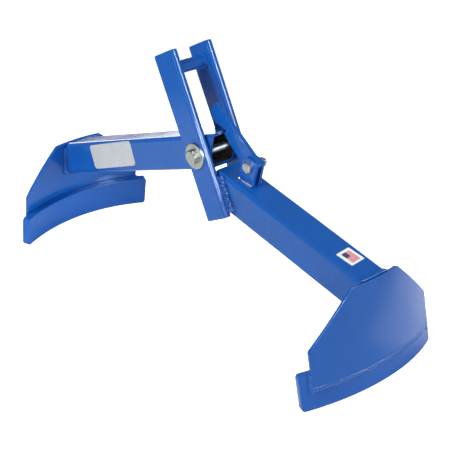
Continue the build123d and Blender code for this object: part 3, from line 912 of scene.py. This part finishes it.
# %% Rings of heads, nuts and threads
CONE_SHARE, CONE_RISE, COLLAR_SHARE, HEXAGON_SHARE = 0.94, 0.577, 0.43, 0.8
THREAD_DEPTH, THREAD_CHAMFER, STEPS_PER_PITCH = 0.54, 0.8, 8


def hexagon_radius(across_flats):
    return lambda angle: across_flats / 2 / cos((angle % (pi / 3)) - pi / 6)


def head_rings(across_flats, height):
    """Rings of a head from its seat to its round flat."""
    outline, flat = hexagon_radius(across_flats), CONE_SHARE * across_flats / 2

    def shoulder(angle):
        return height - (outline(angle) - flat) * CONE_RISE

    return [(outline, 0.0), (outline, shoulder), (flat, height)]


def nut_rings(bore, across_flats, height):
    """Rings of a lock nut: its bore's foot, its hexagon, its collar and its bore's top."""
    outline, flat = hexagon_radius(across_flats), CONE_SHARE * across_flats / 2
    collar, rise = COLLAR_SHARE * across_flats, HEXAGON_SHARE * height

    def low_shoulder(angle):
        return (outline(angle) - flat) * CONE_RISE

    def high_shoulder(angle):
        return rise - low_shoulder(angle)

    return [(bore, 0.0), (flat, 0.0), (outline, low_shoulder), (outline, high_shoulder), (flat, rise),
            (collar, rise), (collar, height - 0.9), (collar - 0.35, height - 0.25), (collar - 1.0, height),
            (bore + 0.7, height), (bore, height - 0.5), (bore, 0.0)]


def thread(radius, pitch, start, end):
    """Rings of a thread from start to end, its crest at the radius, with a chamfered tip."""
    depth, rings = THREAD_DEPTH * pitch, []
    count = int((end - start) / (pitch / STEPS_PER_PITCH))
    for step in range(count + 1):
        height = start + (end - start) * step / count
        tip = max(0.0, height - (end - THREAD_CHAMFER * pitch))

        def crest(angle, height=height, tip=tip):
            phase = (height / pitch - angle / (2 * pi)) % 1.0
            return radius - max(depth * (1 - abs(2 * phase - 1)) * 1.1 - 0.05, tip * 0.9, 0.0)

        rings.append((crest, height))
    return rings


# %% [markdown]
# ## Fitting the fasteners
# The pivot bolt goes in from the near side, with a large washer under its head, and the latch bolt in the
# same way without one. Each part is made at the origin with its seat at nought and +Z outwards, and one
# matrix carries it to its place on the bolt's axis. Heads and nuts end up at any angle when they are
# tightened, so each has a turn of its own.

# %% Bolts, nuts and washer
WASHER, WASHER_BORE, WASHER_RADIUS = 3.4, 6.75, 19.05
NUT_CLEARANCE, FASTENER_EDGE = 0.05, 0.22
LATCH_BOLT_ALONG, LATCH_BOLT_HEIGHT = 15.0, 26.7


def on_bolt(point, side, distance, turn):
    """Matrix to a place on a bolt's axis, with +Z outwards from the clamp's middle."""
    x_dir, z_dir = heading(turn), Vector((0, side, 0))
    axes = Matrix((x_dir, z_dir.cross(x_dir), z_dir)).transposed().to_4x4()
    return Matrix.Translation(Vector((point.x, side * distance, point.z))) @ axes


def fastener(name, node, edit, place):
    """A plated piece on the right arm that stands for a frame node."""
    bmesh.ops.transform(edit, matrix=right_place @ place, verts=edit.verts)
    bmesh.ops.recalc_face_normals(edit, faces=edit.faces)
    mark_sharp(edit)
    print(name, len(edit.faces), "faces, open edges", open_edges(edit))
    soften(make_piece(name, "right_arm", [node], [zinc], edit), FASTENER_EDGE)


def bolt_and_nut(label, point, diameter, across_flats, head, seats, nut, beyond, pitch, turns):
    """A bolt and its lock nut; seats and turns are given for the head and for the nut."""
    radius = diameter / 2
    end = sum(seats) + nut + beyond
    far_thread = [(crest, -height) for crest, height in thread(radius, pitch, end - beyond - nut * 0.5, end)]
    rings = head_rings(across_flats, head)[::-1] + [(radius, 0.0)] + far_thread
    fastener(label + "_bolt_zinc", label + "_bolt", turned_part(rings),
             on_bolt(point, -1, seats[0], turns[0]))
    fastener(label + "_nut_zinc", label + "_nut",
             turned_part(nut_rings(radius + NUT_CLEARANCE, across_flats, nut), closed_tube=True),
             on_bolt(point, 1, seats[1], turns[1]))


pivot_point = Vector((0, 0, 0))
latch_point = (right_foot + right_up * (TUBE_HALF + LATCH_BOLT_HEIGHT) +
               right_along * (EAR_START + LATCH_BOLT_ALONG))
bolt_and_nut("pivot", pivot_point, diameter=12.7, across_flats=19.05, head=7.6,
             seats=(PLATE_OUTER + WASHER, PLATE_OUTER), nut=8.0, beyond=1.0, pitch=1.95, turns=(6, 10))
bolt_and_nut("latch", latch_point, diameter=9.53, across_flats=14.3, head=6.0,
             seats=(EAR_OUTER, EAR_OUTER), nut=13.0, beyond=2.4, pitch=1.59, turns=(10, 27))
washer_rings = [(WASHER_BORE, 0.0), (WASHER_RADIUS, 0.0), (WASHER_RADIUS, WASHER - 0.5),
                (WASHER_RADIUS - 0.5, WASHER), (WASHER_BORE + 0.35, WASHER), (WASHER_BORE, WASHER - 0.35),
                (WASHER_BORE, 0.0)]
fastener("pivot_washer_zinc", "pivot_washer", turned_part(washer_rings, closed_tube=True),
         on_bolt(pivot_point, -1, PLATE_OUTER, 0))

# %% [markdown]
# ## Label and sticker materials
# A bare metal-grey label sits on the near side of the left tube, and a small square sticker on top of the
# right tube. Both are smooth film, flatter than the paint and a little rougher, so they use the same coat
# skin with long faint waves and hardly any peel. The label has a white border round its grey face.

# %% Label and sticker materials


def film(name, colour, colour_worn, roughness):
    """A smooth film of one colour."""
    return finish(name, {"Colour": colour, "Thick Colour": colour_worn, "Roughness": roughness,
                         "Roughness Spread": 0.1, "Patch Scale": 40.0, "Peel Scale": 700.0,
                         "Peel Depth": 0.04, "Wave Scale": 60.0, "Wave Depth": 0.06}, IOR=1.45)


label_edge = film("label_white_edge", (0.92, 0.93, 0.94, 1), (0.86, 0.88, 0.90, 1), 0.30)
label_face = film("label_grey_face", (0.52, 0.54, 0.57, 1), (0.45, 0.47, 0.50, 1), 0.26)
sticker_red = film("sticker_pale_red", (0.78, 0.36, 0.37, 1), (0.72, 0.30, 0.32, 1), 0.35)
sticker_blue = film("sticker_dull_blue", (0.045, 0.06, 0.22, 1), (0.035, 0.05, 0.18, 1), 0.35)

# %% [markdown]
# ## Label
# The label sits a little crooked, with its upper edge bent over the tube's rounded corner. It is a sheet
# with rounded corners: one face with its corners bevelled, inset for the border, cut where it bends, and
# given a thickness. Moving the points past the bend round the corner then wraps it. A Shrinkwrap modifier
# would also lay it on the tube, but would stretch it where it turns the corner.

# %% Label on the left tube
LABEL_LENGTH, LABEL_HEIGHT, LABEL_THICK = 115.5, 39.4, 0.15
LABEL_ALONG, LABEL_RAISE, LABEL_TILT = 230.4, 2.5, radians(-1.9)


def sheet(width, height, corner, border):
    """A flat face about the origin with rounded corners, and a border ring round it."""
    edit = bmesh.new()
    bmesh.ops.create_grid(edit, x_segments=1, y_segments=1, size=0.5)
    bmesh.ops.scale(edit, vec=(width, height, 1), verts=edit.verts)
    bmesh.ops.bevel(edit, geom=list(edit.verts), offset=corner, offset_type="OFFSET", affect="VERTICES",
                    segments=6, profile=0.5, material=-1)
    rim = bmesh.ops.inset_region(edit, faces=list(edit.faces), thickness=border, depth=0.0)["faces"]
    for face in edit.faces:
        face.material_index = 0 if face in rim else 1
    return edit


edit = sheet(LABEL_LENGTH, LABEL_HEIGHT, corner=6.0, border=2.0)
crooked = Matrix.Translation((LABEL_ALONG, LABEL_RAISE, 0)) @ Matrix.Rotation(LABEL_TILT, 4, "Z")
bmesh.ops.transform(edit, matrix=crooked, verts=edit.verts)
for past_bend in (0, 1.3, 2.6, 3.9):
    cut(edit, (0, TUBE_FLAT + past_bend, 0), (0, 1, 0))
bmesh.ops.solidify(edit, geom=list(edit.faces), thickness=LABEL_THICK)
for vert in edit.verts:
    along, height, lift = vert.co
    bend = max(0.0, height - TUBE_FLAT) / TUBE_CORNER
    out = TUBE_CORNER + abs(lift)
    n = TUBE_FLAT + out * sin(bend) if bend else height
    vert.co = left_foot + left_along * along + left_up * n - ACROSS * (TUBE_FLAT + out * cos(bend))
bmesh.ops.transform(edit, matrix=left_place, verts=edit.verts)
bmesh.ops.recalc_face_normals(edit, faces=edit.faces)
print("label", len(edit.faces), "faces, open edges", open_edges(edit))
make_piece("blank_label", "left_arm", [], [label_edge, label_face], edit)

# %% [markdown]
# ## Sticker
# The sticker lies flat on the right tube, a few degrees askew. It is a white sheet that carries a plain red
# field and a plain blue block. Each is a thin sheet of its own, a little above the one below, because an
# image would need an unwrapped face and two plain areas don't.

# %% Sticker on the right tube
STICKER_ALONG, STICKER_ACROSS, STICKER_TILT = 269.8, 2.4, radians(4.5)
sticker_middle = right_foot + right_up * TUBE_HALF + right_along * STICKER_ALONG + ACROSS * STICKER_ACROSS
sticker_place = (right_place @ Matrix.Translation(sticker_middle) @
                 Matrix((right_along, ACROSS, right_up)).transposed().to_4x4() @
                 Matrix.Rotation(STICKER_TILT, 4, "Z"))


def sticker(name, width, height, corner, middle, lift, thick, material):
    """A plain sheet of the sticker, about its middle and lifted off the tube."""
    edit = sheet(width, height, corner, border=0.3)
    bmesh.ops.translate(edit, verts=edit.verts, vec=(*middle, lift))
    bmesh.ops.solidify(edit, geom=list(edit.faces), thickness=thick)
    lowest = min(vert.co.z for vert in edit.verts)
    bmesh.ops.translate(edit, verts=edit.verts, vec=(0, 0, lift - lowest))
    bmesh.ops.transform(edit, matrix=sticker_place, verts=edit.verts)
    bmesh.ops.recalc_face_normals(edit, faces=edit.faces)
    print(name, len(edit.faces), "faces, open edges", open_edges(edit))
    make_piece(name, "right_arm", [], [material, material], edit)


sticker("sticker_white", 27.8, 26.6, 1.2, (0, 0), 0.0, 0.12, label_edge)
sticker("sticker_field", 20.4, 16.6, 0.3, (0.5, 0.5), 0.10, 0.05, sticker_red)
sticker("sticker_block", 9.4, 8.6, 0.2, (-4.9, -3.3), 0.13, 0.05, sticker_blue)
